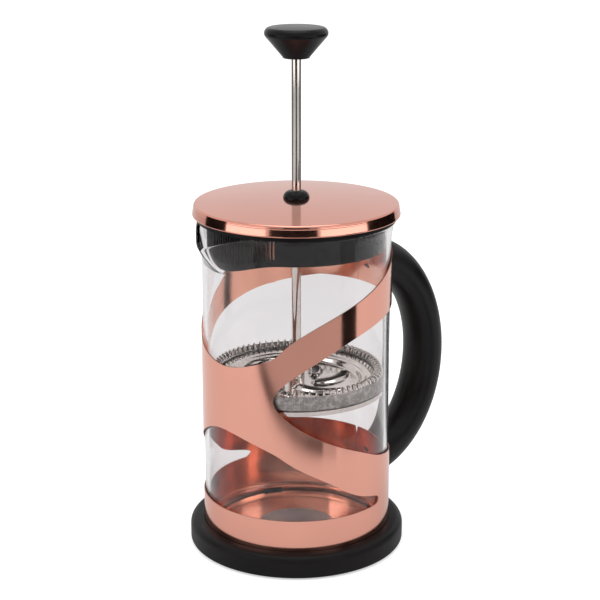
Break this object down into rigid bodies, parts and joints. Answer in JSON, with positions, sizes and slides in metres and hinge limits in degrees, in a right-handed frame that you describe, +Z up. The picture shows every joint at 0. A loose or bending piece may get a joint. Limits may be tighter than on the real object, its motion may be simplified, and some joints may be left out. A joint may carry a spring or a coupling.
{
  "type": "french_press",
  "caption": "Glass-beaker coffee press in a cut-out metal sleeve with a curved grip, a strainer lid and a round-knob plunger.",
  "frame": {"origin": "on the surface it stands on, under the axis of the beaker", "axes": "+Z up along the beaker's axis, +X towards the grip, -X towards the pouring lip"},
  "size_m": [0.1603, 0.1172, 0.2819],
  "materials": {
    "base_plastic": "satin",
    "foot_rubber": "matte",
    "cushion_rubber": "matte",
    "sleeve_metal": "gloss",
    "handle_plastic": "satin",
    "screw_steel": "polished",
    "insert_brass": "satin",
    "beaker_glass": "polished",
    "liner_plastic": "satin",
    "knob_plastic": "satin",
    "rod_steel": "polished",
    "filter_steel": "polished",
    "mesh_steel": "satin"
  },
  "bodies": {
    "frame": {"base": "base_plastic", "foot_pad": "foot_rubber", "cushion": "cushion_rubber", "seat_plate": "sleeve_metal", "sleeve": "sleeve_metal", "handle": "handle_plastic", "handle_screw_low": "screw_steel", "handle_screw_high": "screw_steel", "handle_insert_low": "insert_brass", "handle_insert_high": "insert_brass"},
    "beaker": {"beaker": "beaker_glass"},
    "guide": {"rod_guide": "knob_plastic", "guide_washer": "liner_plastic", "guide_nut": "liner_plastic"},
    "lid": {"lid_cover": "sleeve_metal", "lid_liner": "liner_plastic"},
    "plunger": {"knob": "knob_plastic", "knob_insert": "insert_brass", "plunger_rod": "rod_steel", "hub_collar": "rod_steel", "spiral_plate": "filter_steel", "edge_spring": "filter_steel", "mesh_filter": "mesh_steel", "cross_plate": "filter_steel", "lock_washer": "filter_steel", "hub_nut": "filter_steel"}
  },
  "joints": [
    {"name": "beaker_lift", "type": "slide", "parent": "frame", "child": "beaker", "axis": [0, 0, 1], "range_m": [0, 0.17]},
    {"name": "lid_lift", "type": "slide", "parent": "beaker", "child": "guide", "axis": [0, 0, 1], "range_m": [0, 0.12]},
    {"name": "lid_turn", "type": "hinge", "parent": "guide", "child": "lid", "pos_m": [0, 0, 0.19], "axis": [0, 0, 1], "continuous": true},
    {"name": "plunger_slide", "type": "slide", "parent": "guide", "child": "plunger", "axis": [0, 0, 1], "range_m": [-0.067, 0.055]}
  ]
}
